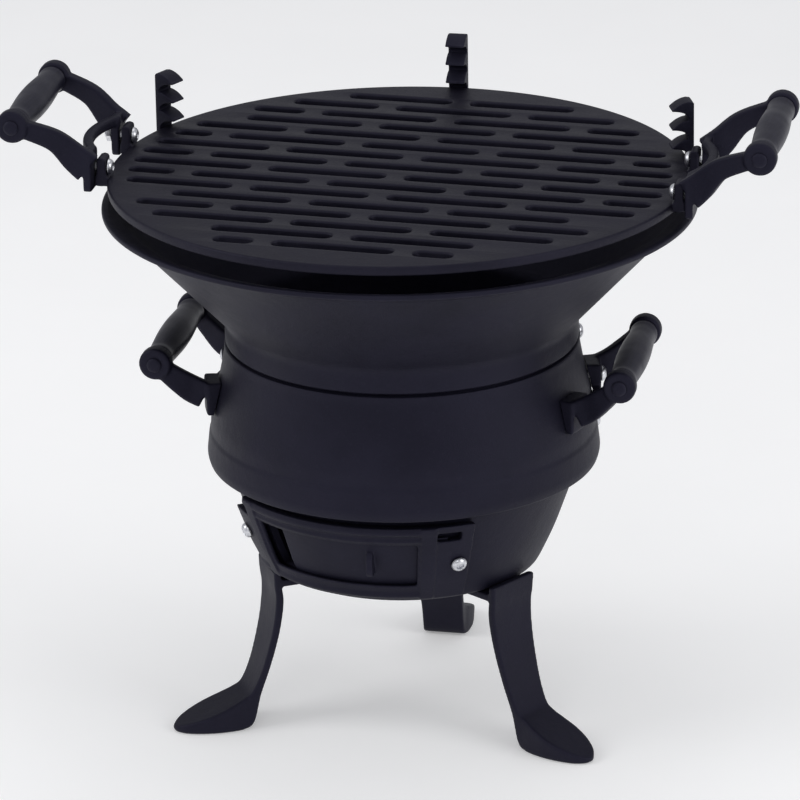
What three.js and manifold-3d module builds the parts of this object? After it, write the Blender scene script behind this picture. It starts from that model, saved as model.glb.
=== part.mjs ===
// Cast-iron barrel hibachi on three legs: a funnel-shaped fire bowl on a barrel-shaped middle casting,
// on a base bowl with an air vent. Millimetres, +Z up. The origin is on the ground, on the barrel's axis.
// The vent is on the -Y side and the carrying handles are on the left and the right.
import * as THREE from 'three';
import { mergeVertices } from 'three/addons/utils/BufferGeometryUtils.js';
import Module from 'manifold-3d';

const wasm = await Module();
wasm.setup();

// ---- driving dimensions ----
const GAP = 0.4;                    // clearance between separate pieces
const ROUND = 40;                   // facets round each large casting
const RIM = { r: 184, low: 333.2, z: 336.2 };     // thin turned-out edge of the fire bowl
const BARREL_TOP = 245.5;           // seam between the fire bowl and the barrel
const SKIRT = 168.5;                // lower edge of the barrel
const BASE_Z = 101;                 // underside of the base bowl
const GRATE = { r: 180, top: 353, thick: 6, pitch: 19.6, slot: 10, long: 75, tie: 12, rim: 11 };
const COAL = { r: 101, bottom: 233.4, thick: 5, pitch: 16, slot: 8, long: 60, tie: 10, rim: 9 };
const VENT = { az: -99.5, half: 29.3, low: 117.5, high: 149 };
const FRAME = { half: 47.6, channel: 40.2, bolt: 43.4, low: 106.4, high: 161.5 };
const SHUTTER = { az: -90, half: 29.9, low: 114.6, high: 151.9, knob: -86.2 };
const LEG_AZ = [92.8, 212.8, 332.8];
const BRACKET_AZ = [24.5, 93.5, 160.5];
const TIE_AZ = [28, 90, 160];       // bolts of the neck and of the skirt
const HANDLE_AZ = 4.7;
const UPPER = { u: 230.6, z: 389, bolt: 32.5 };
const LOWER = { u: 145.3, z: 239.1, boltAz: 15, boltZ: 216 };
const BOSS = { r: 10.2, mid: 52, half: 5 };
const GRIP_HALF = BOSS.mid - BOSS.half - GAP;
const BOLT = { r: 2.4, head: 5, high: 3.2 };
const HOLE = BOLT.r + 0.6;
const ROD = { r: 2.6, bore: 3.2, head: 4.6 };

// Outlines as [radius, height], seen in a section through the axis.
const BASE_SKIN = [[84.5, 102.5], [87, 107], [95, 124], [103, 146], [111.2, 169]];
const CONE_SLOPE = 0.94;            // the funnel's radius gained per unit of height
const CONE_LOW = { r: 110.2, z: 262.5 };
const CONE_TOP = 329;               // where the funnel turns out into the rim

// ---- helpers ----
const rad = THREE.MathUtils.degToRad;
const vec = (x, y, z) => new THREE.Vector3(x, y, z);
const polar = (r, az, z) => vec(r * Math.cos(rad(az)), r * Math.sin(rad(az)), z);
const coneR = (z) => CONE_LOW.r + CONE_SLOPE * (z - CONE_LOW.z);

function between(line, z) {
  const i = Math.max(1, line.findIndex((p) => p[1] >= z));
  const [[r0, z0], [r1, z1]] = [line[i - 1], line[i]];
  return r0 + ((r1 - r0) * (z - z0)) / (z1 - z0);
}

function solid(geometry) {
  const bare = geometry.index ? geometry.toNonIndexed() : geometry.clone();
  bare.deleteAttribute('normal');
  bare.deleteAttribute('uv');
  const merged = mergeVertices(bare, 1e-4);
  return new wasm.Manifold(new wasm.Mesh({
    numProp: 3,
    vertProperties: new Float32Array(merged.attributes.position.array),
    triVerts: new Uint32Array(merged.index.array),
  }));
}

function surface(body) {
  const mesh = body.getMesh();
  const geometry = new THREE.BufferGeometry();
  geometry.setAttribute('position', new THREE.BufferAttribute(new Float32Array(mesh.vertProperties), 3));
  geometry.setIndex(new THREE.BufferAttribute(new Uint32Array(mesh.triVerts), 1));
  return geometry;
}

const join = (parts) => parts.reduce((a, b) => a.add(b));
const cut = (body, tools) => tools.reduce((a, b) => a.subtract(b), body);

// Solid of revolution about Z. The outline runs anticlockwise in the radius-height plane.
function turned(outline, facets = ROUND) {
  const points = outline.map(([r, z]) => new THREE.Vector2(r, z));
  if (outline[0][0] > 0) points.push(points[0].clone());
  return new THREE.LatheGeometry(points, facets).rotateX(Math.PI / 2);
}

const shapeOf = (points) => new THREE.Shape(points.map(([x, y]) => new THREE.Vector2(x, y)));

// Prism standing on z0 with its outline in the XY plane.
function upright(points, z0, z1) {
  const options = { depth: z1 - z0, bevelEnabled: false, curveSegments: 2 };
  return new THREE.ExtrudeGeometry(shapeOf(points), options).translate(0, 0, z0);
}

// Prism with its outline in the XZ plane, between y0 and y1.
function sideways(points, y0, y1) {
  return upright(points, -y1, -y0).rotateX(Math.PI / 2);
}

// Prism with its outline in the YZ plane, between x0 and x1.
function lengthways(points, x0, x1) {
  return upright(points, x0, x1).rotateX(Math.PI / 2).rotateZ(Math.PI / 2);
}

// Part of a ring: a section outline turned from azimuth a0 to a1, closed by its two end faces.
function arc(outline, a0, a1, steps) {
  const positions = [];
  const index = [];
  const n = outline.length;
  for (let s = 0; s <= steps; s++) {
    for (const [r, z] of outline) {
      const p = polar(r, a0 + ((a1 - a0) * s) / steps, z);
      positions.push(p.x, p.y, p.z);
    }
  }
  for (let s = 0; s < steps; s++) {
    for (let i = 0; i < n; i++) {
      const [a, b] = [s * n + i, s * n + ((i + 1) % n)];
      index.push(a, a + n, b, b, a + n, b + n);
    }
  }
  const cap = THREE.ShapeUtils.triangulateShape(outline.map(([r, z]) => new THREE.Vector2(r, z)), []);
  for (const [a, b, c] of cap) {
    index.push(a, b, c, steps * n + a, steps * n + c, steps * n + b);
  }
  const geometry = new THREE.BufferGeometry();
  geometry.setAttribute('position', new THREE.Float32BufferAttribute(positions, 3));
  geometry.setIndex(index);
  return geometry;
}

// Turns an object's local +Z to point along a direction.
function aim(object, origin, direction) {
  object.position.copy(origin);
  object.quaternion.setFromUnitVectors(vec(0, 0, 1), direction.clone().normalize());
  return object;
}

// Round cutter along a direction, reaching a distance each way from its middle.
function drill(origin, direction, reach, radius = HOLE) {
  const tool = new THREE.CylinderGeometry(radius, radius, 2 * reach, 8).rotateX(Math.PI / 2);
  const pose = aim(new THREE.Object3D(), origin, direction);
  pose.updateMatrix();
  return solid(tool.applyMatrix4(pose.matrix));
}

// ---- materials ----
const iron = new THREE.MeshStandardMaterial({ color: 0x1d1c24, roughness: 0.72, metalness: 0.35 });
const grateIron = new THREE.MeshStandardMaterial({ color: 0x17161d, roughness: 0.62, metalness: 0.4 });
const woodBlack = new THREE.MeshStandardMaterial({ color: 0x211f2b, roughness: 0.55, metalness: 0 });
const zinc = new THREE.MeshStandardMaterial({ color: 0xb9bcc2, roughness: 0.35, metalness: 0.9 });

const grill = new THREE.Group();

function place(name, geometry, material, az = 0) {
  const mesh = new THREE.Mesh(geometry, material);
  mesh.name = name;
  mesh.rotation.z = rad(az);
  grill.add(mesh);
  return mesh;
}

// ---- bolts and nuts ----
// Domed bolt: the underside of the head is at the local origin and the shank runs to -Z.
function boltShape(length) {
  const { r, head, high } = BOLT;
  return turned([[0, -length], [r, -length], [r, 0], [head, 0], [head * 0.8, high * 0.7], [0, high]], 8);
}

function nutShape() {
  const corners = Array.from({ length: 6 }, (_, i) => [4.6 * Math.cos(rad(60 * i)), 4.6 * Math.sin(rad(60 * i))]);
  return surface(cut(solid(upright(corners, 0, 3.4)), [drill(vec(0, 0, 1.7), vec(0, 0, 1), 4, BOLT.r + 0.5)]));
}

function bolt(name, origin, direction, length) {
  aim(place(name, boltShape(length), zinc), origin, direction);
}

function nut(name, origin, direction) {
  aim(place(name, nutShape(), zinc), origin, direction);
}

// ---- fire bowl ----
const bracketBoltZ = 311;
const coneOut = (az) => polar(1, az, -CONE_SLOPE);
const bracketSpot = (az) => polar(coneR(bracketBoltZ), az, bracketBoltZ);
const VENT_BOLT_Z = 135;
const ventOut = (az) => polar(1, az, -0.364);
const ventSpot = (az) => polar(between(BASE_SKIN, VENT_BOLT_Z), az, VENT_BOLT_Z);

function fireBowl() {
  const inner = (z) => coneR(z) - 5.3;
  const body = solid(turned([
    [95, 229], [107.5, 229], [107.5, 246], [CONE_LOW.r, 248], [CONE_LOW.r, CONE_LOW.z], [coneR(CONE_TOP), CONE_TOP],
    [RIM.r, RIM.low], [RIM.r, RIM.z], [RIM.r - 3.5, RIM.z], [inner(333), 333],
    [103.2, 260.7], [103.2, 233], [95, 233],
  ]));
  const tools = [];
  for (const az of BRACKET_AZ) {
    tools.push(solid(sideways([[179.6, 326], [190, 326], [190, 340], [179.6, 340]], -6.8, 6.8)
      .rotateZ(rad(az))));
    tools.push(drill(bracketSpot(az), coneOut(az), 14));
  }
  for (const az of TIE_AZ) tools.push(drill(polar(106, az, 239), polar(1, az, 0), 8));
  return surface(cut(body, tools));
}

// ---- barrel ----
function barrel() {
  const body = solid(turned([
    [116.4, SKIRT], [121.6, SKIRT], [123.1, 173.5], [120.6, 189.5], [120.2, 198], [118.2, 207],
    [113.4, 226.5], [110.8, 241], [110.6, BARREL_TOP], [108, BARREL_TOP], [108, 228],
    [114.2, 206], [116.2, 192], [108.5, 192], [108.5, 187.7], [116.4, 187.7],
  ]));
  const tools = [];
  for (const az of TIE_AZ) {
    tools.push(drill(polar(110, az, 239), polar(1, az, 0), 8));
    tools.push(drill(polar(118, az, 179), polar(1, az, 0), 10));
  }
  for (const side of [0, 180]) {
    for (const sign of [-1, 1]) {
      const az = HANDLE_AZ + side + sign * LOWER.boltAz;
      tools.push(drill(polar(116, az, LOWER.boltZ), polar(1, az, 0), 10));
    }
  }
  return surface(cut(body, tools));
}

// ---- base bowl ----
function baseBowl() {
  const body = solid(turned([
    [0, BASE_Z], [80.5, BASE_Z], ...BASE_SKIN, [115.9, 174], [115.9, 187.2], [111.9, 187.2], [111.9, 176],
    [107, 171], [98.8, 146.5], [91, 125.5], [83, 108.5], [78, 105.2], [0, 105.2],
  ]));
  const { az, half, low, high } = VENT;
  const window = [[70, low], [125, low], [125, high], [70, high]];
  const tools = [solid(arc(window, az - half, az + half, 6))];
  for (const sign of [-1, 1]) {
    const turn = az + sign * FRAME.bolt;
    tools.push(drill(ventSpot(turn), ventOut(turn), 12));
  }
  for (const turn of TIE_AZ) tools.push(drill(polar(114, turn, 179), polar(1, turn, 0), 9));
  for (const turn of LEG_AZ) tools.push(drill(polar(68, turn, 103), vec(0, 0, 1), 8));
  return surface(cut(body, tools));
}

// ---- air vent ----
// Section of a band that follows the base bowl's side between two offsets and two heights.
function sideBand(inner, outer, low, high) {
  const line = [...BASE_SKIN.filter(([, z]) => z > low && z < high)].map(([, z]) => z);
  const levels = [low, ...line, high];
  const skin = (offset) => levels.map((z) => [between(BASE_SKIN, z) + offset, z]);
  return [...skin(outer), ...skin(inner).reverse()];
}

function ventFrame() {
  const { az, half, low, high } = VENT;
  const face = (reach, steps, ...band) => solid(arc(sideBand(...band), az - reach, az + reach, steps));
  const body = face(FRAME.half, 14, 0.6, 6.2, FRAME.low, FRAME.high);
  const channel = face(FRAME.channel, 16, -3, 3.4, SHUTTER.low - 0.6, SHUTTER.high + 0.6);
  const window = solid(arc([[70, low], [125, low], [125, high], [70, high]], az - half, az + half, 6));
  const lowTab = solid(arc([[80, 148], [130, 148], [130, 170], [80, 170]], az - FRAME.half - 1, az - 36.8, 4));
  const holes = [-1, 1].map((s) => drill(ventSpot(az + s * FRAME.bolt), ventOut(az + s * FRAME.bolt), 14));
  return surface(cut(body, [channel, window, lowTab, ...holes]));
}

function ventShutter() {
  const { az, half, low, high, knob } = SHUTTER;
  const plate = solid(arc(sideBand(0.8, 2.8, low, high), az - half, az + half, 8));
  const r = between(BASE_SKIN, 134);
  const lug = [[r - 2, 126], [r + 8, 126.6], [r + 9.6, 130], [r + 9.6, 138], [r + 7, 143], [r + 4, 143]];
  return surface(plate.add(solid(sideways(lug, -2, 2).rotateZ(rad(knob)))));
}

// ---- legs ----
// Flat bar with a bent tab under the base bowl and a flared, pointed foot, built along +X.
function leg() {
  const bar = [
    [58, 95.5], [83.5, 95.5], [86, 93], [85.2, 86], [87, 70.4], [90.4, 54.6], [95.3, 37.5], [100, 22], [103, 9],
    [111, 13], [107.5, 21], [100.6, 36.8], [95.6, 53.5], [92, 70], [90.4, 86], [91.3, 96], [91.7, 105.6],
    [87.1, 105.6], [86.9, 100.6], [58, 100.6],
  ];
  const front = [[-12.5, 0], [12.5, 0], [13.8, 20], [17.6, 75], [19.2, 107], [-19.2, 107], [-17.6, 75], [-13.8, 20]];
  const sole = [[99, -12.5], [112, -14.5], [125, -15.5], [138, -13.8], [148, -9.5], [153, -5], [154.7, 0]];
  const mirrored = sole.slice(0, -1).reverse().map(([x, y]) => [x, -y]);
  const wedge = [
    [108.5, 0], [153.5, 0], [154.7, 2], [154.2, 4.4], [148, 7], [138, 10.6], [125, 15.2], [114, 19.6],
    [108.5, 24], [103, 22], [101.5, 17],
  ];
  const shank = solid(sideways(bar, -20, 20)).intersect(solid(lengthways(front, 50, 160)));
  const foot = solid(sideways(wedge, -20, 20)).intersect(solid(upright([...sole, ...mirrored], -1, 30)));
  return surface(cut(shank.add(foot), [drill(vec(68, 0, 98), vec(0, 0, 1), 8)]));
}

// ---- grate brackets ----
// Upright strip through a notch in the rim, with fin-shaped teeth that point at the middle of the grate.
function bracket() {
  const stem = [
    [180.4, 388], [184, 388], [184, 328], [171.1, 320.8], [151.4, 299.9], [148.5, 302.6], [171.2, 326.8],
    [172.8, 328.3], [180.4, 331],
  ];
  const fin = (top) => [[181, top], [181, top - 10.5], [178.5, top - 8.8], [175.4, top - 7], [170.6, top - 6.2],
    [170, top - 5], [174.2, top - 2], [177.4, top - 0.6]];
  const rest = [[181, 346.6], [171, 346.6], [171, 344.4], [177, 342], [181, 337.5]];
  const pieces = [stem, rest, fin(388.4), fin(376.3), fin(364.2)];
  const body = join(pieces.map((outline) => solid(sideways(outline, -6.2, 6.2))));
  return surface(cut(body, [drill(bracketSpot(0), coneOut(0), 14)]));
}

// ---- grates ----
// Cutters for rows of slots along X. Every other row is shifted by half a slot.
function slotCutters({ r, rim, pitch, slot, long, tie, bottom, thick }, chamfer) {
  const reach = r - rim;
  const tools = [];
  const rows = Math.floor((reach - slot / 2) / pitch + 0.5);
  for (let row = -rows; row < rows; row++) {
    const y = (row + 0.5) * pitch;
    const half = Math.sqrt(reach ** 2 - (Math.abs(y) + slot / 2) ** 2);
    const step = long + tie;
    const shift = row % 2 === 0 ? 0 : step / 2;
    for (let k = -4; k <= 4; k++) {
      const x0 = Math.max(-half, k * step + shift - long / 2);
      const x1 = Math.min(half, k * step + shift + long / 2);
      if (x1 - x0 < 2.2 * slot) continue;
      const [h, c] = [slot / 2, chamfer];
      const ends = [[x0 + c, y - h], [x1 - c, y - h], [x1, y - h + c], [x1, y + h - c],
        [x1 - c, y + h], [x0 + c, y + h], [x0, y + h - c], [x0, y - h + c]];
      const square = [[x0, y - h], [x1, y - h], [x1, y + h], [x0, y + h]];
      tools.push(solid(upright(c ? ends : square, bottom - 2, bottom + thick + 2)));
    }
  }
  return tools;
}

function disc({ r, bottom, thick }) {
  return solid(turned([[0, bottom], [r, bottom], [r, bottom + thick], [0, bottom + thick]]));
}

const EAR = { u0: 176.5, u1: 182.4, half: 6.5, low: 347.6, high: 366, bolt: 359 };

function cookingGrate() {
  const plate = { ...GRATE, bottom: GRATE.top - GRATE.thick };
  const body = cut(disc(plate), slotCutters(plate, 2.6));
  const ears = [];
  const holes = [];
  for (const side of [0, 180]) {
    for (const sign of [-1, 1]) {
      const t = sign * UPPER.bolt;
      const outline = [[EAR.u0 - 6, EAR.low], [EAR.u1 + 1.2, EAR.low], [EAR.u1 + 1.2, 354], [EAR.u1, 356],
        [EAR.u1, EAR.high], [EAR.u0, EAR.high], [EAR.u0, 353.4], [EAR.u0 - 6, 352.6]];
      ears.push(solid(sideways(outline, t - EAR.half, t + EAR.half).rotateZ(rad(HANDLE_AZ + side))));
      const spot = vec(182, t, EAR.bolt).applyAxisAngle(vec(0, 0, 1), rad(HANDLE_AZ + side));
      holes.push(drill(spot, polar(1, HANDLE_AZ + side, 0), 12));
    }
  }
  return surface(cut(join([body, ...ears]), holes));
}

function charcoalGrate() {
  return surface(cut(disc(COAL), slotCutters(COAL, 0)));
}

// ---- handles ----
// Yoke along +X: two arms that rise to round bosses, tied by a curved web at their roots.
function yoke({ u, z }, arm, side, rootParts, holes) {
  const parts = [...rootParts];
  for (const sign of [-1, 1]) {
    const plan = arm.map(([x, y]) => [x, sign * y]);
    if (sign < 0) plan.reverse();
    parts.push(solid(upright(plan, 0, 420)).intersect(solid(sideways(side, -70, 70))));
    const boss = new THREE.CylinderGeometry(BOSS.r, BOSS.r, 2 * BOSS.half, 14);
    parts.push(solid(boss.translate(u, sign * BOSS.mid, 0).translate(0, 0, z)));
  }
  const bore = drill(vec(u, 0, z), vec(0, 1, 0), BOSS.mid + 12, ROD.bore);
  return surface(cut(join(parts), [bore, ...holes]));
}

const UPPER_ROOT = EAR.u1 + 1.2 + GAP;

function upperYoke() {
  const root = UPPER_ROOT;
  const arm = [[root, 39.5], [root + 5, 39.5], [219, 47.1], [234, 47.1], [234, 56.9], [226, 56.9],
    [root + 5, 46.5], [root, 46.5]];
  const side = [[root, 350], [root + 6, 351], [228, 381.3], [234, 386.3], [232, 396.3], [222, 392.8],
    [root + 4, 371.5], [root, 371.5]];
  const flange = [[27, 346], [46.5, 346], [46.5, 371.5], [30, 371.5], [27, 369]];
  const flanges = [-1, 1].map((sign) => {
    const outline = flange.map(([t, z]) => [sign * t, z]);
    if (sign < 0) outline.reverse();
    return solid(lengthways(outline, root, root + 5));
  });
  const web = solid(arc([[60.5, 365], [67, 365], [67, 371.5], [60.5, 371.5]], -31, 31, 8).translate(131, 0, 0));
  const holes = [-1, 1].map((s) => drill(vec(root + 3, s * UPPER.bolt, EAR.bolt), vec(1, 0, 0), 7));
  return yoke(UPPER, arm, side, [...flanges, web], holes);
}

function lowerYoke() {
  const arm = [[116, 39], [124, 39], [135, 47.1], [149, 47.1], [149, 56.9], [141, 56.9], [124, 47], [116, 46]];
  const side = [[116, 208], [124, 208], [143, 230], [149, 235], [147, 246], [137, 245], [124, 231], [116, 225]];
  const band = (a0, a1, z0, z1, steps) => solid(arc([[112, z0], [124, z0], [124, z1], [112, z1]], a0, a1, steps));
  const pieces = [band(-22, 22, 203, 210, 8), band(11.5, 22, 203, 224, 2), band(-22, -11.5, 203, 224, 2)];
  const skin = [[0, 195], [121.2, 195], [120.9, 198.5], [118.9, 207.5], [114.2, 226.5], [113, 233], [0, 233]];
  const clear = solid(turned(skin).rotateZ(-rad(HANDLE_AZ)));
  const holes = [-1, 1].map((s) => {
    return drill(polar(119, s * LOWER.boltAz, LOWER.boltZ), polar(1, s * LOWER.boltAz, 0), 16);
  });
  return yoke(LOWER, arm, side, pieces, [clear, ...holes]);
}

// Turned wooden grip with a bore, on an axis along Z.
function grip() {
  const outline = [[ROD.bore, -1], [8.1, -1], [8.6, -0.93], [8.2, -0.8], [9.3, -0.45], [9.9, 0], [9.3, 0.45],
    [8.2, 0.8], [8.6, 0.93], [8.1, 1], [ROD.bore, 1]];
  return turned(outline.map(([r, k]) => [r, k * GRIP_HALF]), 12);
}

function rodShape() {
  const tip = BOSS.mid + BOSS.half + GAP;
  return turned([[0, -tip - 1.4], [3.8, -tip - 1.4], [ROD.head, -tip - 0.6], [ROD.head, -tip], [ROD.r, -tip],
    [ROD.r, tip], [ROD.head, tip], [ROD.head, tip + 0.6], [3.8, tip + 1.4], [0, tip + 1.4]], 8);
}

// ---- assembly ----
place('fire_bowl', fireBowl(), iron);
place('barrel', barrel(), iron);
place('base_bowl', baseBowl(), iron);
place('vent_frame', ventFrame(), iron);
place('vent_shutter', ventShutter(), iron);
place('cooking_grate', cookingGrate(), grateIron);
place('charcoal_grate', charcoalGrate(), grateIron);

const names = ['back', 'left', 'right'];
const legShape = leg();
LEG_AZ.forEach((az, i) => {
  place(`leg_${names[i]}`, legShape, iron, az);
  bolt(`leg_bolt_${names[i]}`, polar(68, az, 95.5 - GAP), vec(0, 0, -1), 14.2);
  nut(`leg_nut_${names[i]}`, polar(68, az, 105.2 + GAP), vec(0, 0, 1));
});

const bracketNames = ['right', 'back', 'left'];
const bracketShape = bracket();
BRACKET_AZ.forEach((az, i) => {
  place(`bracket_${bracketNames[i]}`, bracketShape, iron, az);
  const out = coneOut(az).normalize();
  bolt(`bracket_bolt_${bracketNames[i]}`, bracketSpot(az).addScaledVector(out, 4.8), out, 12);
});

TIE_AZ.forEach((az, i) => {
  bolt(`neck_bolt_${bracketNames[i]}`, polar(112.6, az, 239), polar(1, az, 0), 9);
  bolt(`skirt_bolt_${bracketNames[i]}`, polar(123.4, az, 179), polar(1, az, 0), 12);
});

for (const [label, sign] of [['left', -1], ['right', 1]]) {
  const az = VENT.az + sign * FRAME.bolt;
  const out = ventOut(az).normalize();
  bolt(`vent_bolt_${label}`, ventSpot(az).addScaledVector(out, 6.6), out, 12.5);
}

for (const [label, side] of [['right', 0], ['left', 180]]) {
  const az = HANDLE_AZ + side;
  const axis = polar(1, az + 90, 0);
  const levels = [['upper', UPPER, upperYoke()], ['lower', LOWER, lowerYoke()]];
  for (const [level, { u, z }, shape] of levels) {
    place(`${level}_yoke_${label}`, shape, iron, az);
    aim(place(`${level}_grip_${label}`, grip(), woodBlack), polar(u, az, z), axis);
    aim(place(`${level}_rod_${label}`, rodShape(), iron), polar(u, az, z), axis);
  }
  for (const [end, sign] of [['a', -1], ['b', 1]]) {
    const out = polar(1, az, 0);
    const at = (x) => vec(x, sign * UPPER.bolt, EAR.bolt).applyAxisAngle(vec(0, 0, 1), rad(az));
    bolt(`ear_bolt_${label}_${end}`, at(EAR.u0 - GAP), out.clone().negate(), 17.9);
    nut(`ear_nut_${label}_${end}`, at(UPPER_ROOT + 5 + GAP), out);
    const turn = az + sign * LOWER.boltAz;
    bolt(`yoke_bolt_${label}_${end}`, polar(124.4, turn, LOWER.boltZ), polar(1, turn, 0), 13);
  }
}

export default grill;
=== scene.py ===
"""Cast-iron barrel hibachi grill in a plain studio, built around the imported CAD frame."""

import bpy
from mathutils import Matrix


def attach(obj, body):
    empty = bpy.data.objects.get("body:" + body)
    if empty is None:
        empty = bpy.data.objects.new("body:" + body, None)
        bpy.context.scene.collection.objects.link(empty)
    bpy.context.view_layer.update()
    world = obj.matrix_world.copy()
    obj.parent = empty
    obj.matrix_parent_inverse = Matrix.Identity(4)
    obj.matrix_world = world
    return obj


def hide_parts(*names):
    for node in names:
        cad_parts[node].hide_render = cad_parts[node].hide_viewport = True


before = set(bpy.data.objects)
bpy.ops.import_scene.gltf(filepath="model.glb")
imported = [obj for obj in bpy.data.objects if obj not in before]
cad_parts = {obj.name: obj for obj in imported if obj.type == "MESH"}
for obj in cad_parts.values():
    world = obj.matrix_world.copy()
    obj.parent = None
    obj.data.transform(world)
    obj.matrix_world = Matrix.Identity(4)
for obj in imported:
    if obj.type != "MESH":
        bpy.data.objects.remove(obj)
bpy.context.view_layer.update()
import math

import bmesh
import bpy
from mathutils import Matrix, Vector

MM = 0.001

# ---------------------------------------------------------------- camera
CAM_AZ, CAM_EL, CAM_ROLL = math.radians(16), math.radians(20.3), math.radians(-1.0)
CAM_DIST, CAM_LENS = 3.5, 251.9
CAM_TARGET = Vector((-0.0019, -0.0006, 0.2033))


def make_camera():
    turn = Matrix.Rotation(CAM_AZ, 3, "Z")
    back = turn @ Vector((0, -math.cos(CAM_EL), math.sin(CAM_EL)))
    right = turn @ Vector((1, 0, 0))
    up = back.cross(right)
    x_axis = math.cos(CAM_ROLL) * right + math.sin(CAM_ROLL) * up
    y_axis = back.cross(x_axis)
    data = bpy.data.cameras.new("camera")
    data.lens, data.sensor_width = CAM_LENS, 36
    data.clip_start, data.clip_end = 0.05, 50
    camera = bpy.data.objects.new("camera", data)
    bpy.context.collection.objects.link(camera)
    axes = Matrix((x_axis, y_axis, back)).transposed().to_4x4()
    camera.matrix_world = Matrix.Translation(CAM_TARGET + CAM_DIST * back) @ axes
    bpy.context.scene.camera = camera


make_camera()

# ---------------------------------------------------------------- sizes, in millimetres
SEG = 192
RIM_R, RIM_LOW, RIM_TOP = 184.0, 333.2, 336.2
CONE_SLOPE, CONE_R, CONE_Z, CONE_TOP, CONE_WALL = 0.94, 110.2, 262.5, 329.0, 5.3
GRATE_R, GRATE_TOP, GRATE_THICK = 180.0, 353.0, 6.0
COAL_R, COAL_BOTTOM, COAL_THICK = 101.0, 233.4, 5.0
BASE_SKIN = [(84.5, 102.5), (87, 107), (95, 124), (103, 146), (111.2, 169)]
VENT_AZ, VENT_HALF, VENT_LOW, VENT_HIGH = -99.5, 29.3, 117.5, 149.0
FRAME_HALF, FRAME_CHANNEL, FRAME_BOLT, FRAME_LOW, FRAME_HIGH = 47.6, 40.2, 43.4, 106.4, 161.5
SHUTTER_AZ, SHUTTER_HALF, SHUTTER_LOW, SHUTTER_HIGH, SHUTTER_KNOB = -90, 29.9, 114.6, 151.9, -86.2
VENT_BOLT_Z = 135
LEGS = {"back": 92.8, "left": 212.8, "right": 332.8}
BRACKETS = {"right": 24.5, "back": 93.5, "left": 160.5}
TIES = {"right": 28, "back": 90, "left": 160}
HANDLE_AZ = 4.7
UPPER_U, UPPER_Z, UPPER_BOLT_T, UPPER_BOLT_Z = 230.6, 389.0, 32.5, 359.0
LOWER_U, LOWER_Z, LOWER_BOLT_AZ, LOWER_BOLT_Z = 145.3, 239.1, 15.0, 216.0
BOSS_R, BOSS_MID, BOSS_HALF = 10.2, 52.0, 5.0
YOKE_ROOT = 184.0
GRIP_HALF = BOSS_MID - BOSS_HALF - 0.4


# ---------------------------------------------------------------- mesh helpers
def polar(r, az, z=0.0):
    a = math.radians(az)
    return Vector((r * math.cos(a), r * math.sin(a), z))


def skin_r(z):
    """Outer radius of the base bowl at a height."""
    for (r0, z0), (r1, z1) in zip(BASE_SKIN, BASE_SKIN[1:]):
        if z <= z1:
            break
    return r0 + (r1 - r0) * (z - z0) / (z1 - z0)


def cone_r(z):
    return CONE_R + CONE_SLOPE * (z - CONE_Z)


def rounded(points, radius, steps=5, closed=True):
    """The outline with its corners rounded. radius is one number, or one for each corner."""
    n = len(points)
    radii = radius if isinstance(radius, (list, tuple)) else [radius] * n
    out = []
    for i, (x, y) in enumerate(points):
        here = Vector((x, y))
        if radii[i] <= 0 or (not closed and i in (0, n - 1)):
            out.append((x, y))
            continue
        before, after = Vector(points[i - 1]) - here, Vector(points[(i + 1) % n]) - here
        reach = min(radii[i], 0.45 * before.length, 0.45 * after.length)
        a, b = here + before.normalized() * reach, here + after.normalized() * reach
        for k in range(steps + 1):
            t = k / steps
            p = a * (1 - t) ** 2 + here * (2 * t * (1 - t)) + b * t ** 2
            out.append((p.x, p.y))
    return out


def spline(points, steps):
    """Smooth curve through points of any dimension (Catmull-Rom)."""
    pts = [Vector(p) for p in points]
    pts = [2 * pts[0] - pts[1]] + pts + [2 * pts[-1] - pts[-2]]
    out = []
    for i in range(1, len(pts) - 2):
        p0, p1, p2, p3 = pts[i - 1:i + 3]
        for k in range(steps):
            t = k / steps
            out.append(0.5 * (2 * p1 + (p2 - p0) * t + (2 * p0 - 5 * p1 + 4 * p2 - p3) * t ** 2
                              + (3 * p1 - p0 - 3 * p2 + p3) * t ** 3))
    return out + [pts[-2]]


class Shell:
    """Gathers vertices and faces, in millimetres."""

    def __init__(self):
        self.verts, self.faces = [], []

    def add(self, verts, faces):
        base = len(self.verts)
        self.verts += [Vector(v) for v in verts]
        self.faces += [[base + i for i in f] for f in faces]
        return self

    def merge(self, other, matrix=Matrix.Identity(4)):
        return self.add([matrix @ v for v in other.verts], other.faces)


def rings(sections, closed_path=False, caps=True):
    """Skin over a list of equal closed sections."""
    n, m = len(sections[0]), len(sections)
    verts = [v for s in sections for v in s]
    faces = []
    for j in range(m if closed_path else m - 1):
        k = (j + 1) % m
        faces += [[j * n + i, j * n + (i + 1) % n, k * n + (i + 1) % n, k * n + i] for i in range(n)]
    if caps and not closed_path:
        faces += [list(range(n))[::-1], [(m - 1) * n + i for i in range(n)]]
    return Shell().add(verts, faces)


def lathe(outline, seg=SEG):
    """Solid of revolution about Z from a closed outline of (r, z)."""
    sections = [[polar(max(r, 0.0), 360 * j / seg, z) for r, z in outline] for j in range(seg)]
    return rings(sections, closed_path=True)


def arc(outline, a0, a1, steps):
    return rings([[polar(r, a0 + (a1 - a0) * j / steps, z) for r, z in outline] for j in range(steps + 1)])


def prism(outline, lo, hi, plane="xz"):
    """Prism of an outline in the xz, xy or yz plane, between lo and hi along the third axis."""
    def point(a, b, c):
        return {"xz": (a, c, b), "xy": (a, b, c), "yz": (c, a, b)}[plane]
    return rings([[point(a, b, c) for a, b in outline] for c in (lo, hi)])


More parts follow.
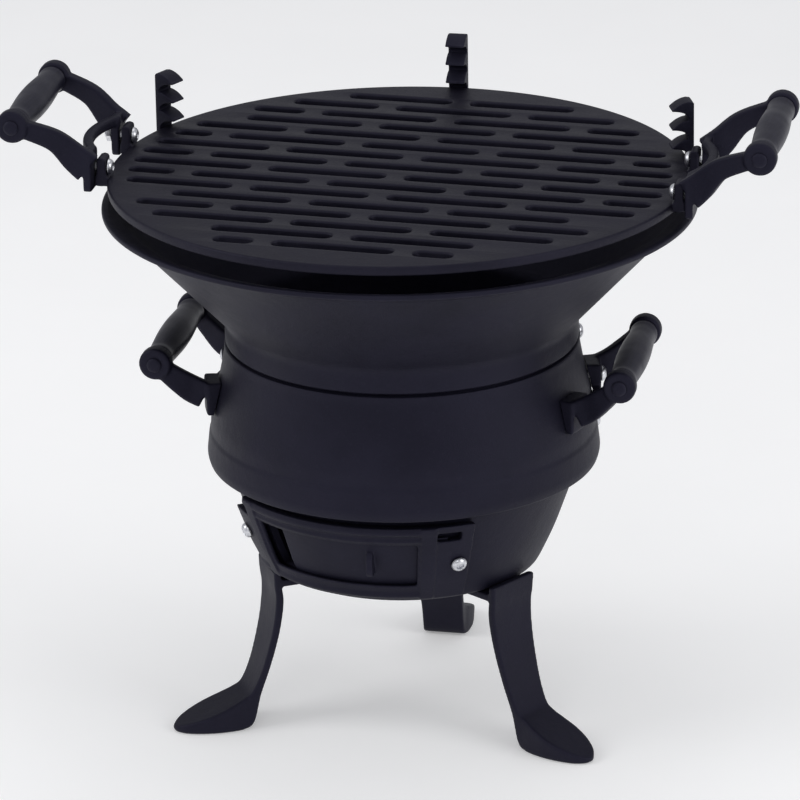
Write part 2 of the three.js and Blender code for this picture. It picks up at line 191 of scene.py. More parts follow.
def tube(start, end, radius, seg=40):
    start, end = Vector(start), Vector(end)
    turn = (end - start).to_track_quat("Z", "Y").to_matrix()
    ring = [turn @ polar(radius, 360 * j / seg) for j in range(seg)]
    return rings([[start + v for v in ring], [end + v for v in ring]])


def to_object(name, shell, matrix=Matrix.Identity(4), angle=32):
    """Mesh object from a shell, welded, with outward faces, in metres."""
    bm = bmesh.new()
    verts = [bm.verts.new((matrix @ v) * MM) for v in shell.verts]
    for face in shell.faces:
        try:
            bm.faces.new([verts[i] for i in face])
        except ValueError:
            pass
    bmesh.ops.remove_doubles(bm, verts=bm.verts, dist=1e-6)
    bmesh.ops.dissolve_degenerate(bm, edges=bm.edges, dist=1e-7)
    bmesh.ops.recalc_face_normals(bm, faces=bm.faces)
    mesh = bpy.data.meshes.new(name)
    bm.to_mesh(mesh)
    bm.free()
    obj = bpy.data.objects.new(name, mesh)
    bpy.context.collection.objects.link(obj)
    smooth(obj, angle)
    return obj


def smooth(obj, angle=32):
    obj.data.shade_smooth()
    obj.data.set_sharp_from_angle(angle=math.radians(angle))


def settle(obj):
    """Applies every modifier of an object."""
    bpy.context.view_layer.update()
    graph = bpy.context.evaluated_depsgraph_get()
    mesh = bpy.data.meshes.new_from_object(obj.evaluated_get(graph))
    obj.modifiers.clear()
    obj.data = mesh
    return obj


def carve(obj, tools):
    """Cuts the shells in tools out of an object."""
    cutters = [to_object("cutter", t) for t in tools]
    for cutter in cutters:
        mod = obj.modifiers.new("cut", "BOOLEAN")
        mod.operation, mod.solver, mod.object = "DIFFERENCE", "EXACT", cutter
    settle(obj)
    for cutter in cutters:
        bpy.data.objects.remove(cutter)
    return obj


def join(obj, other):
    """Adds the mesh of another object, which is thrown away."""
    bm = bmesh.new()
    bm.from_mesh(obj.data)
    bm.from_mesh(other.data)
    bm.to_mesh(obj.data)
    bm.free()
    bpy.data.objects.remove(other)


def cast(obj, voxel=0.8, passes=5):
    """One fused casting with soft edges: the overlapping parts are remeshed and smoothed."""
    mod = obj.modifiers.new("fuse", "REMESH")
    mod.mode, mod.voxel_size, mod.adaptivity = "VOXEL", voxel * MM, 0
    relax = obj.modifiers.new("relax", "SMOOTH")
    relax.factor, relax.iterations = 0.5, passes
    settle(obj)
    smooth(obj, 60)
    return obj


def sheet_metal(name, outlines, z0, thick, bevel, matrix=Matrix.Identity(4)):
    """Flat plate with holes: the first outline is the edge, and the others are holes. Bevelled all round."""
    data = bpy.data.curves.new(name, "CURVE")
    data.dimensions, data.fill_mode = "2D", "BOTH"
    data.extrude, data.bevel_depth = (thick / 2 - bevel) * MM, bevel * MM
    data.bevel_resolution, data.offset = 3, -bevel * MM
    for outline in outlines:
        line = data.splines.new("POLY")
        line.points.add(len(outline) - 1)
        for point, (x, y) in zip(line.points, outline):
            point.co = (x * MM, y * MM, 0, 1)
        line.use_cyclic_u = True
    obj = bpy.data.objects.new(name, data)
    bpy.context.collection.objects.link(obj)
    bpy.context.view_layer.update()
    mesh = bpy.data.meshes.new_from_object(obj.evaluated_get(bpy.context.evaluated_depsgraph_get()))
    bpy.data.objects.remove(obj)
    mesh.transform(Matrix.Translation((0, 0, (z0 + thick / 2) * MM)))
    mesh.transform(matrix)
    bm = bmesh.new()
    bm.from_mesh(mesh)
    bmesh.ops.remove_doubles(bm, verts=bm.verts, dist=2e-6)
    bmesh.ops.recalc_face_normals(bm, faces=bm.faces)
    bm.to_mesh(mesh)
    bm.free()
    obj = bpy.data.objects.new(name, mesh)
    bpy.context.collection.objects.link(obj)
    smooth(obj, 40)
    return obj


# ---------------------------------------------------------------- materials
class Graph:
    """Short names for building a node tree."""

    def __init__(self, name):
        self.mat = bpy.data.materials.new(name)
        self.mat.use_nodes = True
        self.tree = self.mat.node_tree
        self.shader = self.tree.nodes["Principled BSDF"]
        self.coords = self.tree.nodes.new("ShaderNodeTexCoord").outputs["Object"]

    def node(self, kind, **values):
        made = self.tree.nodes.new("ShaderNode" + kind)
        for key, value in values.items():
            if key in made.inputs:
                made.inputs[key].default_value = value
            else:
                setattr(made, key, value)
        return made

    def link(self, a, b):
        self.tree.links.new(a, b)

    def noise(self, scale, detail=3.0, rough=0.55, vector=None):
        tex = self.node("TexNoise", Scale=scale, Detail=detail, Roughness=rough)
        self.link(vector or self.coords, tex.inputs["Vector"])
        return tex.outputs["Fac"]

    def spread(self, value, lo, hi, out_lo=0.0, out_hi=1.0):
        made = self.node("MapRange")
        for name, number in (("From Min", lo), ("From Max", hi), ("To Min", out_lo), ("To Max", out_hi)):
            made.inputs[name].default_value = number
        self.link(value, made.inputs["Value"])
        return made.outputs["Result"]

    def math(self, operation, a, b):
        made = self.node("Math", operation=operation)
        for socket, value in zip(made.inputs, (a, b)):
            if isinstance(value, (int, float)):
                socket.default_value = value
            else:
                self.link(value, socket)
        return made.outputs[0]

    def mix(self, factor, a, b):
        made = self.node("Mix", data_type="RGBA")
        for socket, value in zip((made.inputs[0], made.inputs[6], made.inputs[7]), (factor, a, b)):
            if isinstance(value, (tuple, float)):
                socket.default_value = (*value, 1.0) if isinstance(value, tuple) else value
            else:
                self.link(value, socket)
        return made.outputs[2]

    def bump(self, height, distance, strength, below=None):
        made = self.node("Bump", Strength=strength, Distance=distance)
        self.link(height, made.inputs["Height"])
        if below:
            self.link(below, made.inputs["Normal"])
        return made.outputs["Normal"]

    def finish(self, colour, roughness, normal, metallic=0.0, specular=0.5, tint=(1.0, 1.0, 1.0)):
        self.link(colour, self.shader.inputs["Base Color"])
        self.link(roughness, self.shader.inputs["Roughness"])
        self.link(normal, self.shader.inputs["Normal"])
        self.shader.inputs["Metallic"].default_value = metallic
        self.shader.inputs["Specular IOR Level"].default_value = specular
        self.shader.inputs["Specular Tint"].default_value = (*tint, 1.0)
        return self.mat


def iron(name, dark, light, worn, grain, roughness, depth, wear):
    """Matt black paint on a sand casting: grain, shallow waves, pits, dusty patches and rubbed edges."""
    g = Graph(name)
    patches, fine = g.noise(22, 4), g.noise(grain, 3, 0.6)
    speck = g.noise(grain * 0.45, 2, 0.5)
    pits = g.node("TexVoronoi", Scale=grain * 0.3)
    g.link(g.coords, pits.inputs["Vector"])
    pit = g.spread(pits.outputs["Distance"], 0.0, 0.16, 1.0, 0.0)
    colour = g.mix(g.spread(patches, 0.34, 0.68), dark, light)
    colour = g.mix(g.spread(speck, 0.58, 0.74, 0.0, 0.10), colour, worn)
    edge = g.node("NewGeometry").outputs["Pointiness"]
    rub = g.math("MULTIPLY", g.spread(edge, 0.525, 0.60), g.spread(g.noise(140, 4), 0.42, 0.62))
    colour = g.mix(g.math("MULTIPLY", rub, wear), colour, worn)
    rough = g.spread(g.math("ADD", g.math("MULTIPLY", patches, 0.6), g.math("MULTIPLY", fine, 0.4)),
                     0.3, 0.7, roughness[0], roughness[1])
    waves = g.bump(g.noise(95, 3), 0.0011, 0.30)
    sand = g.bump(g.math("SUBTRACT", fine, g.math("MULTIPLY", pit, 0.35)), depth, 0.55, waves)
    return g.finish(colour, rough, sand, specular=0.23, tint=(0.72, 0.70, 1.0))


def grip_wood(name):
    """Turned hardwood under black satin lacquer, with the grain just showing."""
    g = Graph(name)
    stretch = g.node("Mapping")
    stretch.inputs["Scale"].default_value = (1.0, 0.10, 1.0)
    g.link(g.coords, stretch.inputs["Vector"])
    grain = g.noise(750, 5, 0.6, stretch.outputs["Vector"])
    broad = g.noise(45, 3)
    colour = g.mix(g.spread(grain, 0.38, 0.66), (0.0065, 0.0062, 0.0120), (0.0125, 0.0120, 0.0220))
    colour = g.mix(g.spread(broad, 0.5, 0.75, 0.0, 0.35), colour, (0.017, 0.017, 0.029))
    edge = g.node("NewGeometry").outputs["Pointiness"]
    colour = g.mix(g.spread(edge, 0.53, 0.62, 0.0, 0.4), colour, (0.030, 0.028, 0.036))
    rough = g.spread(broad, 0.3, 0.7, 0.34, 0.5)
    return g.finish(colour, rough, g.bump(grain, 0.00018, 0.35), specular=0.24, tint=(0.72, 0.70, 1.0))


def bright_zinc(name):
    """Zinc plating, a little cloudy and scuffed."""
    g = Graph(name)
    cloud, scuff = g.noise(420, 4), g.noise(2600, 2)
    colour = g.mix(g.spread(cloud, 0.35, 0.7), (0.55, 0.56, 0.60), (0.80, 0.80, 0.82))
    rough = g.spread(scuff, 0.3, 0.7, 0.22, 0.42)
    return g.finish(colour, rough, g.bump(scuff, 0.00005, 0.3), metallic=1.0)


BODY = iron("body_iron", (0.0050, 0.0048, 0.0100), (0.0090, 0.0086, 0.0165), (0.030, 0.029, 0.044),
            1100, (0.46, 0.62), 0.00026, 0.5)
GRATE = iron("grate_iron", (0.0046, 0.0043, 0.0085), (0.0090, 0.0084, 0.0150), (0.036, 0.034, 0.048),
             900, (0.42, 0.60), 0.00028, 0.6)
WOOD = grip_wood("grip_black_wood")
ZINC = bright_zinc("fastener_zinc")


def fit(obj, material, body, *nodes):
    """Gives a piece its material and its body, and hides the CAD nodes that it stands for."""
    obj.data.materials.clear()
    obj.data.materials.append(material)
    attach(obj, body)
    if nodes:
        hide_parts(*nodes)
    return obj


# ---------------------------------------------------------------- castings
def bracket_notch(az):
    box = prism([(179.4, 326), (192, 326), (192, 342), (179.4, 342)], -6.8, 6.8)
    return Shell().merge(box, Matrix.Rotation(math.radians(az), 4, "Z"))


def fire_bowl():
    outline = [(95, 229), (107.5, 229), (107.5, 246), (CONE_R, 248), (CONE_R, CONE_Z),
               (cone_r(CONE_TOP), CONE_TOP), (RIM_R, RIM_LOW), (RIM_R, RIM_TOP), (RIM_R - 3.5, RIM_TOP),
               (cone_r(333) - CONE_WALL, 333), (103.2, 260.7), (103.2, 233), (95, 233)]
    radii = [0.8, 0.6, 0.6, 0.6, 5.0, 3.0, 1.0, 1.3, 1.5, 2.5, 6.0, 1.2, 0.8]
    obj = to_object("fire_bowl_casting", lathe(rounded(outline, radii)), angle=50)
    carve(obj, [bracket_notch(az) for az in BRACKETS.values()])
    smooth(obj, 40)
    return fit(obj, BODY, "stand", "fire_bowl")


def barrel():
    outline = [(116.4, 168.5), (121.6, 168.5), (123.1, 173.5), (121.5, 187.2), (120.5, 189.6), (120.2, 198),
               (118.2, 207), (113.4, 226.5), (110.8, 241), (110.6, 245.5), (108, 245.5), (108, 228),
               (114.2, 206), (116.2, 192), (108.5, 192), (108.5, 187.7), (116.4, 187.7)]
    radii = [0.6, 1.2, 3.0, 1.4, 1.6, 5.0, 9.0, 9.0, 4.0, 1.0, 0.8, 1.0, 4.0, 0.8, 0.8, 0.8, 0.8]
    obj = to_object("barrel_casting", lathe(rounded(outline, radii)), angle=50)
    return fit(obj, BODY, "stand", "barrel")


def base_bowl():
    outline = [(0, 101), (80.5, 101), *BASE_SKIN, (115.9, 174), (115.9, 187.2), (111.9, 187.2), (111.9, 176),
               (107, 171), (98.8, 146.5), (91, 125.5), (83, 108.5), (78, 105.2), (0, 105.2)]
    radii = [0, 3.0, 3.0, 5.0, 9.0, 9.0, 2.5, 1.5, 0.8, 0.8, 3.0, 3.0, 8.0, 8.0, 5.0, 4.0, 0]
    obj = to_object("base_bowl_casting", lathe(rounded(outline, radii)), angle=50)
    hole = [(70, VENT_LOW - 1), (125, VENT_LOW - 1), (125, VENT_HIGH + 1), (70, VENT_HIGH + 1)]
    carve(obj, [arc(hole, VENT_AZ - VENT_HALF - 0.6, VENT_AZ + VENT_HALF + 0.6, 24)])
    smooth(obj, 40)
    return fit(obj, BODY, "stand", "base_bowl")


# ---------------------------------------------------------------- air vent
def side_band(inner, outer, low, high, step=3.0):
    """Section that follows the side of the base bowl between two offsets and two heights."""
    count = max(2, int((high - low) / step))
    levels = [low + (high - low) * k / count for k in range(count + 1)]
    return [(skin_r(z) + outer, z) for z in levels] + [(skin_r(z) + inner, z) for z in reversed(levels)]


def bead(offset, z, half_wide, half_high, steps=10):
    """Rounded bead on the frame's face, as a section."""
    r = skin_r(z) + offset
    angles = [2 * math.pi * k / steps for k in range(steps)]
    return [(r + half_wide * math.cos(a), z + half_high * math.sin(a)) for a in angles]


def vent_frame():
    a, half = VENT_AZ, VENT_HALF
    shell = arc(side_band(0.6, 6.2, FRAME_LOW, FRAME_HIGH), a - FRAME_HALF, a + FRAME_HALF, 90)
    obj = to_object("vent_frame_casting", shell)
    groove = side_band(-3, 3.4, SHUTTER_LOW - 0.6, SHUTTER_HIGH + 0.6)
    channel = arc(groove, a - FRAME_CHANNEL, a + FRAME_CHANNEL, 80)
    window = arc([(70, VENT_LOW), (125, VENT_LOW), (125, VENT_HIGH), (70, VENT_HIGH)], a - half, a + half, 60)
    hook = arc([(100, 150.4), (130, 150.4), (130, 156.6), (100, 156.6)], a + 35.5, a + 43.5, 12)
    low_tab = arc([(80, 148), (130, 148), (130, 170), (80, 170)], a - FRAME_HALF - 1, a - 36.8, 16)
    carve(obj, [channel, window, hook, low_tab])
    extra = Shell()
    extra.merge(arc(bead(5.6, 158.6, 2.0, 2.6), a - 36.4, a + half + 6.2, 80))
    extra.merge(arc(bead(5.7, 152.2, 1.5, 1.5), a - half - 5, a + half + 5, 60))
    extra.merge(arc(bead(5.7, 110.6, 1.5, 2.6), a - FRAME_HALF + 1.5, a + half + 6.2, 80))
    for sign in (-1, 1):
        mid = a + sign * (half + 3.6)
        extra.merge(arc(side_band(4.6, 7.6, FRAME_LOW + 0.6, FRAME_HIGH - 0.8), mid - 2.5, mid + 2.5, 6))
    beads = to_object("vent_beads", extra)
    join(obj, beads)
    cast(obj, 0.75, 4)
    return fit(obj, BODY, "stand", "vent_frame")


def vent_shutter():
    a = SHUTTER_AZ
    section = rounded(side_band(0.8, 2.8, SHUTTER_LOW, SHUTTER_HIGH), 0.5, 2)
    shell = arc(section, a - SHUTTER_HALF, a + SHUTTER_HALF, 90)
    r = skin_r(134)
    knob = spline([(r - 2, 126), (r + 7, 126.4), (r + 9.4, 129.5), (r + 9.6, 134), (r + 9.2, 139),
                   (r + 6.5, 143), (r + 3.5, 143.4)], 6)
    turn = Matrix.Rotation(math.radians(SHUTTER_KNOB), 4, "Z")
    lug = Shell().merge(prism([tuple(p) for p in knob], -2, 2), turn)
    obj = to_object("vent_shutter_plate", shell.merge(lug))
    cast(obj, 0.55, 3)
    return fit(obj, BODY, "vent_shutter", "vent_shutter")


# ---------------------------------------------------------------- legs
def section_between(outer, inner, half, steps=6, corner=1.6):
    """Rounded rectangle between two points of the radius-height plane, with its half width along Y."""
    outer, inner = Vector(outer), Vector(inner)
    span = (outer - inner).length
    box = rounded([(-half, 0), (half, 0), (half, span), (-half, span)], min(corner, 0.45 * span), steps)
    across = (outer - inner).normalized()
    return [(inner.x + across.x * v, u, inner.y + across.y * v) for u, v in box]


def leg_shell():
    stations = [  # outer r, z; inner r, z; half width
        (91.7, 105.6, 87.1, 105.6, 19.1), (91.3, 96, 86.6, 96, 18.7), (90.4, 86, 85.3, 86, 18.1),
        (92.0, 70, 87.0, 70.4, 17.2), (95.6, 53.5, 90.4, 54.6, 16.1), (100.6, 36.8, 95.2, 38, 14.9),
        (106.6, 24.4, 100.6, 22, 13.9), (112.5, 20.4, 105.3, 4.5, 13.8), (120, 17.0, 112.5, 0.6, 14.8),
        (130, 13.2, 125, 0.3, 15.2), (140, 9.7, 137, 0.3, 13.2), (148.5, 6.6, 147.3, 0.3, 9.2),
        (153.0, 4.6, 152.6, 0.4, 4.6), (154.6, 3.6, 154.5, 1.2, 1.8)]
    smooth_line = spline(stations, 7)
    body = rings([section_between(s[0:2], s[2:4], s[4]) for s in map(tuple, smooth_line)])
    tab = rounded([(58, -17), (88.5, -18.5), (88.5, 18.5), (58, 17)], [7, 0.5, 0.5, 7])
    body.merge(prism(tab, 95.5, 100.5, "xy"))
    brace = [(79, 95.6), (87.4, 95.6), (86.2, 86)]
    return body.merge(prism(rounded(brace, 1.0, 3), -4, 4))


def leg(name, az):
    obj = to_object(f"leg_{name}_casting", leg_shell(), Matrix.Rotation(math.radians(az), 4, "Z"))
    cast(obj, 0.8, 6)
    return fit(obj, BODY, "stand", f"leg_{name}")


# ---------------------------------------------------------------- grate brackets
def bracket_outline():
    """Outline in the radius-height plane: strip, inward fins, rest under the grate and sloping foot."""
    tops, line = [388.4, 376.3, 364.2], []
    line += [(184, 328.2), (184, 387.0), (183.2, 388.0)]
    for k, top in enumerate(tops):
        if k:
            line += [(180.6, top + 1.0)]
        line += spline([(180.6, top), (177.6, top - 0.7), (174.2, top - 2.3), (170.6, top - 5.0)], 4)
        line += spline([(170.4, top - 6.0), (173.4, top - 6.3), (176.5, top - 7.0), (178.8, top - 8.2),
                        (180.5, top - 10.3)], 4)
    line += [(180.5, 347.2), (179.6, 346.6), (171.4, 346.6), (171.0, 345.4)]
    line += spline([(172, 344.3), (176, 342.6), (179, 340.2), (180.5, 336.8)], 4)
    line += [(180.5, 331.2), (173.2, 328.4), (171.4, 326.6), (149.1, 302.9), (149.0, 302.2), (151.2, 300.2),
             (152.0, 300.4), (171.2, 320.8), (183.2, 327.4)]
    return line[::-1]


def bracket(name, az):
    stand_up = Matrix.Rotation(math.radians(az), 4, "Z") @ Matrix.Rotation(math.radians(90), 4, "X")
    obj = sheet_metal(f"bracket_{name}_casting", [bracket_outline()], -6.2, 12.4, 0.7, stand_up)
    return fit(obj, BODY, "stand", f"bracket_{name}")


# ---------------------------------------------------------------- grates
def stadium(x0, x1, y, half, steps=10):
    ends = []
    for centre, start in ((x1 - half, -90), (x0 + half, 90)):
        ends += [(centre + half * math.cos(math.radians(start + 180 * k / steps)),
                  y + half * math.sin(math.radians(start + 180 * k / steps))) for k in range(steps + 1)]
    return ends


def slot_rows(r, rim, pitch, slot, long, tie):
    """Outlines of slots in rows along X. Every other row is shifted by half a slot."""
    reach, step = r - rim, long + tie
    rows = math.floor((reach - slot / 2) / pitch + 0.5)
    holes = []
    for row in range(-rows, rows):
        y = (row + 0.5) * pitch
        half = math.sqrt(reach ** 2 - (abs(y) + slot / 2) ** 2)
        shift = 0 if row % 2 == 0 else step / 2
        for k in range(-4, 5):
            x0, x1 = max(-half, k * step + shift - long / 2), min(half, k * step + shift + long / 2)
            if x1 - x0 >= 2.2 * slot:
                holes.append(stadium(x0, x1, y, slot / 2))
    return holes


def circle(r, steps=240):
    return [tuple(polar(r, 360 * k / steps).xy) for k in range(steps)]


def cooking_grate():
    plate = [circle(GRATE_R)] + slot_rows(GRATE_R, rim=11, pitch=19.6, slot=10, long=75, tie=12)
    obj = sheet_metal("cooking_grate_plate", plate, GRATE_TOP - GRATE_THICK, GRATE_THICK, 1.5)
    fit(obj, GRATE, "cooking_grate", "cooking_grate")
    outline = rounded([(170.5, 348), (183.4, 348), (183.4, 354), (182.3, 356), (182.3, 366), (176.6, 366),
                       (176.6, 354.5), (174.5, 352.4), (170.5, 352.4)], [1, 1, 1, 1, 2.4, 2.4, 2.5, 2, 0.5])
    for side, label in ((0, "right"), (180, "left")):
        for sign, end in ((-1, "a"), (1, "b")):
            t = sign * UPPER_BOLT_T
            ear = prism(outline, t - 6.4, t + 6.4)
            turn = Matrix.Rotation(math.radians(HANDLE_AZ + side), 4, "Z")
            fit(cast(to_object(f"grate_ear_{label}_{end}", ear, turn), 0.6, 3), GRATE, "cooking_grate")


def charcoal_grate():
    plate = [circle(COAL_R)] + slot_rows(COAL_R, rim=9, pitch=16, slot=8, long=60, tie=10)
    obj = sheet_metal("charcoal_grate_plate", plate, COAL_BOTTOM, COAL_THICK, 1.0)
    return fit(obj, GRATE, "charcoal_grate", "charcoal_grate")


# ---------------------------------------------------------------- handles
def arm_shell(path, sign):
    """Arm along a list of (u, t, z, half width, half height)."""
    sections = []
    line = [tuple(p) for p in spline(path, 8)]
    for i, (u, t, z, wide, high) in enumerate(line):
        a, b = Vector(line[max(i - 1, 0)][:3]), Vector(line[min(i + 1, len(line) - 1)][:3])
        along = (b - a).normalized()
        side = Vector((0, 0, 1)).cross(along).normalized()
        up = along.cross(side)
        box = rounded([(-wide, -high), (wide, -high), (wide, high), (-wide, high)], 1.4, 4)
        points = [Vector((u, t, z)) + side * x + up * y for x, y in box]
        sections.append([Vector((p.x, sign * p.y, p.z)) for p in points])
    return rings(sections)


def yoke(name, u, z, path, extra, cutters, az, passes=6):
    shell = Shell()
    for sign in (-1, 1):
        shell.merge(arm_shell(path, sign))
        knob = [(0, -BOSS_HALF), (BOSS_R, -BOSS_HALF), (BOSS_R, BOSS_HALF), (0, BOSS_HALF)]
        lie = Matrix.Translation((u, sign * BOSS_MID, z)) @ Matrix.Rotation(math.radians(90), 4, "X")
        shell.merge(lathe(rounded(knob, [0, 2.2, 2.2, 0]), 64), lie)
    for part in extra:
        shell.merge(part)
    obj = cast(to_object(f"{name}_casting", shell), 0.75, passes)
    bore = tube((u, -BOSS_MID - 12, z), (u, BOSS_MID + 12, z), 3.1)
    carve(obj, [bore, *cutters])
    smooth(obj, 45)
    obj.data.transform(Matrix.Rotation(math.radians(az), 4, "Z"))
    return obj


def upper_yoke(label, az):
    root = YOKE_ROOT
    path = [(root + 2.4, 43.0, 361, 3.4, 9.8), (root + 10, 44.2, 367.6, 3.6, 8.8),
            (205, 47.2, 378.8, 3.8, 6.8), (219, 50.2, 385.2, 4.0, 5.8),
            (UPPER_U - 1, BOSS_MID, 388.5, 4.4, 5.2)]
    flange = rounded([(27, 346), (46.6, 346), (46.6, 371.5), (30, 371.5), (27, 369)], [4, 2.5, 3, 3, 2])
    plates = [prism([(s * t, h) for t, h in flange], root, root + 5, "yz") for s in (-1, 1)]
    band = rounded([(60.5, 365), (67, 365), (67, 371.5), (60.5, 371.5)], 1.8, 3)
    web = Shell().merge(arc(band, -31, 31, 40), Matrix.Translation((131, 0, 0)))
    holes = [tube((root - 2, s * UPPER_BOLT_T, UPPER_BOLT_Z), (root + 9, s * UPPER_BOLT_T, UPPER_BOLT_Z), 2.9)
             for s in (-1, 1)]
    obj = yoke(f"upper_yoke_{label}", UPPER_U, UPPER_Z, path, [*plates, web], holes, az)
    return fit(obj, BODY, "cooking_grate", f"upper_yoke_{label}")


def lower_yoke(label, az):
    path = [(117, 42.4, 216, 3.4, 8.6), (125, 44.4, 220.5, 3.6, 8.4), (133.5, 48.2, 227.8, 3.9, 7.2),
            (140.5, 51.2, 234.6, 4.2, 6.0), (LOWER_U - 0.5, BOSS_MID, 238.6, 4.4, 5.2)]

    def band(a0, a1, z0, z1):
        return arc(rounded([(112, z0), (124, z0), (124, z1), (112, z1)], [0, 1.5, 1.5, 0], 3), a0, a1, 24)
    parts = [band(-22, 22, 203, 210), band(11.5, 22, 203, 224), band(-22, -11.5, 203, 224)]
    skin = [(0, 190), (121.2, 190), (121.2, 195), (120.9, 198.5), (118.9, 207.5), (114.2, 226.5),
            (112.4, 240), (0, 240)]
    holes = [lathe(rounded(skin, [0, 0, 2, 6, 6, 6, 2, 0]), 160)]
    for sign in (-1, 1):
        a = sign * LOWER_BOLT_AZ
        holes.append(tube(polar(110, a, LOWER_BOLT_Z), polar(135, a, LOWER_BOLT_Z), 2.9))
    obj = yoke(f"lower_yoke_{label}", LOWER_U, LOWER_Z, path, parts, holes, az, 14)
    return fit(obj, BODY, "stand", f"lower_yoke_{label}")


def on_axis(u, z, az):
    """Matrix that takes local +Z to a handle's rod axis."""
    turn = Matrix.Rotation(math.radians(az), 4, "Z") @ Matrix.Translation((u, 0, z))
    return turn @ Matrix.Rotation(math.radians(-90), 4, "X")


def grip(level, label, u, z, az, body):
    k = GRIP_HALF
    shape = [(7.9, 1), (8.5, 0.97), (8.6, 0.92), (8.2, 0.8), (8.9, 0.55), (9.7, 0.25)]
    outer = spline([(r, -f * k) for r, f in shape] + [(9.9, 0)] + [(r, f * k) for r, f in reversed(shape)], 6)
    outline = [tuple(p) for p in outer] + [(3.2, k), (3.2, -k)]
    obj = to_object(f"{level}_grip_{label}_turned", lathe(outline, 72), on_axis(u, z, az), angle=40)
    return fit(obj, WOOD, body, f"{level}_grip_{label}")


def rod(level, label, u, z, az, body):
    tip = BOSS_MID + BOSS_HALF + 0.4
    outline = [(0, -tip - 1.4), (2.6, -tip - 1.35), (4.0, -tip - 1.0), (4.6, -tip - 0.4), (4.6, -tip),
               (2.6, -tip)]
    outline += [(r, -h) for r, h in reversed(outline)]
    obj = to_object(f"{level}_rod_{label}_steel", lathe(outline, 40), on_axis(u, z, az), angle=35)
    return fit(obj, BODY, body, f"{level}_rod_{label}")


# ---------------------------------------------------------------- fasteners
def facing(origin, direction):
    return Matrix.Translation(origin) @ Vector(direction).to_track_quat("Z", "Y").to_matrix().to_4x4()


def bolt(name, origin, direction, length, body="stand"):
    """Domed head with a round socket; the underside of the head is at the origin."""
    head = [(0, -length), (1.9, -length), (2.4, -length + 0.6), (2.4, 0), (4.7, 0), (5.0, 0.35), (4.9, 0.9),
            (4.4, 1.9), (3.6, 2.7), (2.7, 3.1), (2.4, 3.05), (2.2, 2.7), (2.0, 1.2), (0, 0.9)]
    obj = to_object(f"{name}_steel", lathe(head, 40), facing(origin, direction), angle=35)
    return fit(obj, ZINC, body, name)


def nut(name, origin, direction, body="stand"):
    """Chamfered hexagon nut."""
    def hexagon(r, z):
        return [polar(r, 60 * k, z) for k in range(6)]
    shell = rings([hexagon(4.2, 0), hexagon(4.6, 0.4), hexagon(4.6, 3.0), hexagon(4.1, 3.4),
                   hexagon(2.8, 3.4), hexagon(2.8, 0)], closed_path=True, caps=False)
    obj = to_object(f"{name}_steel", shell, facing(origin, direction), angle=25)
    return fit(obj, ZINC, body, name)


# ---------------------------------------------------------------- assembly
fire_bowl()
barrel()
base_bowl()
vent_frame()
vent_shutter()
cooking_grate()
charcoal_grate()

for label, az in LEGS.items():
    leg(label, az)
    bolt(f"leg_bolt_{label}", polar(68, az, 95.1), (0, 0, -1), 14.2)
    nut(f"leg_nut_{label}", polar(68, az, 105.6), (0, 0, 1))

for label, az in BRACKETS.items():
    bracket(label, az)
    out = polar(1, az, -CONE_SLOPE).normalized()
    bolt(f"bracket_bolt_{label}", polar(cone_r(311), az, 311) + out * 4.8, out, 12)

for label, az in TIES.items():
    bolt(f"neck_bolt_{label}", polar(112.6, az, 239), polar(1, az), 9)
    bolt(f"skirt_bolt_{label}", polar(123.4, az, 179), polar(1, az), 12)

for label, sign in (("left", -1), ("right", 1)):
    az = VENT_AZ + sign * FRAME_BOLT
    out = polar(1, az, -0.364).normalized()
    bolt(f"vent_bolt_{label}", polar(skin_r(VENT_BOLT_Z), az, VENT_BOLT_Z) + out * 6.6, out, 12.5)

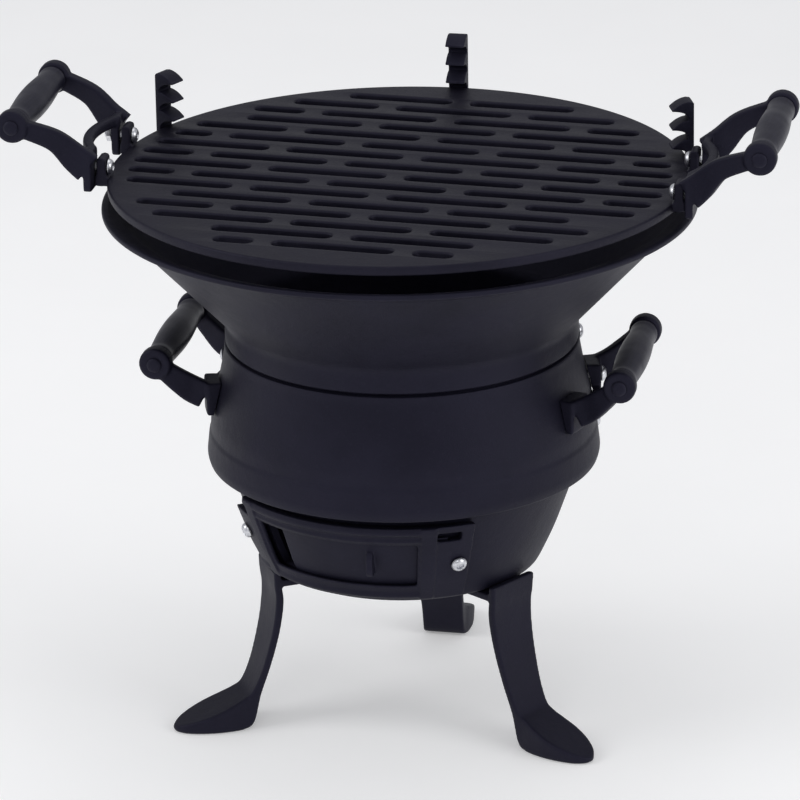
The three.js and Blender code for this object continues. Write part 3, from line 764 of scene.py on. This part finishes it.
for label, side in (("right", 0), ("left", 180)):
    az = HANDLE_AZ + side
    upper_yoke(label, az)
    lower_yoke(label, az)
    levels = (("upper", UPPER_U, UPPER_Z, "cooking_grate"), ("lower", LOWER_U, LOWER_Z, "stand"))
    for level, u, z, body in levels:
        grip(level, label, u, z, az, f"{level}_grip_{label}")
        rod(level, label, u, z, az, body)
    turn = Matrix.Rotation(math.radians(az), 4, "Z")
    for end, sign in (("a", -1), ("b", 1)):
        t = sign * UPPER_BOLT_T
        out = polar(1, az)
        bolt(f"ear_bolt_{label}_{end}", turn @ Vector((176.1, t, UPPER_BOLT_Z)), -out, 17.9, "cooking_grate")
        nut(f"ear_nut_{label}_{end}", turn @ Vector((YOKE_ROOT + 5.4, t, UPPER_BOLT_Z)), out, "cooking_grate")
        a = az + sign * LOWER_BOLT_AZ
        bolt(f"yoke_bolt_{label}_{end}", polar(124.4, a, LOWER_BOLT_Z), polar(1, a), 13)


# ---------------------------------------------------------------- studio
def studio():
    half = 4000
    corners = [(-half, -half, 0), (half, -half, 0), (half, half, 0), (-half, half, 0)]
    floor = to_object("floor", Shell().add(corners, [[0, 1, 2, 3]]))
    g = Graph("floor_paper")
    colour = g.mix(g.noise(6, 3), (0.86, 0.86, 0.86), (0.90, 0.90, 0.90))
    g.finish(colour, g.spread(g.noise(30, 3), 0.3, 0.7, 0.75, 0.9), g.bump(g.noise(300, 3), 0.0001, 0.1))
    g.shader.inputs["Emission Color"].default_value = (1.0, 1.0, 1.0, 1.0)
    g.shader.inputs["Emission Strength"].default_value = 0.24
    floor.data.materials.append(g.mat)
    world = bpy.data.worlds.new("world")
    world.use_nodes = True
    world.node_tree.nodes["Background"].inputs["Color"].default_value = (0.95, 0.96, 1.0, 1)
    world.node_tree.nodes["Background"].inputs["Strength"].default_value = 0.46
    bpy.context.scene.world = world
    bpy.context.scene.view_settings.view_transform = "Standard"
    lamps = (("key", (-2.2, -1.2, 1.7), 1.5, 21), ("fill", (2.4, -0.7, 1.3), 1.5, 19),
             ("front", (0.2, -2.6, 1.9), 1.2, 8), ("top", (0.1, 0.5, 2.6), 1.8, 10))
    for name, place, size, power in lamps:
        data = bpy.data.lights.new(name, "AREA")
        data.shape, data.size, data.energy = "SQUARE", size, power
        lamp = bpy.data.objects.new(name, data)
        bpy.context.collection.objects.link(lamp)
        aim = Vector((0, 0, 0.2)) - Vector(place)
        lamp.matrix_world = Matrix.Translation(place) @ aim.to_track_quat("-Z", "Y").to_matrix().to_4x4()


studio()
bpy.context.view_layer.update()
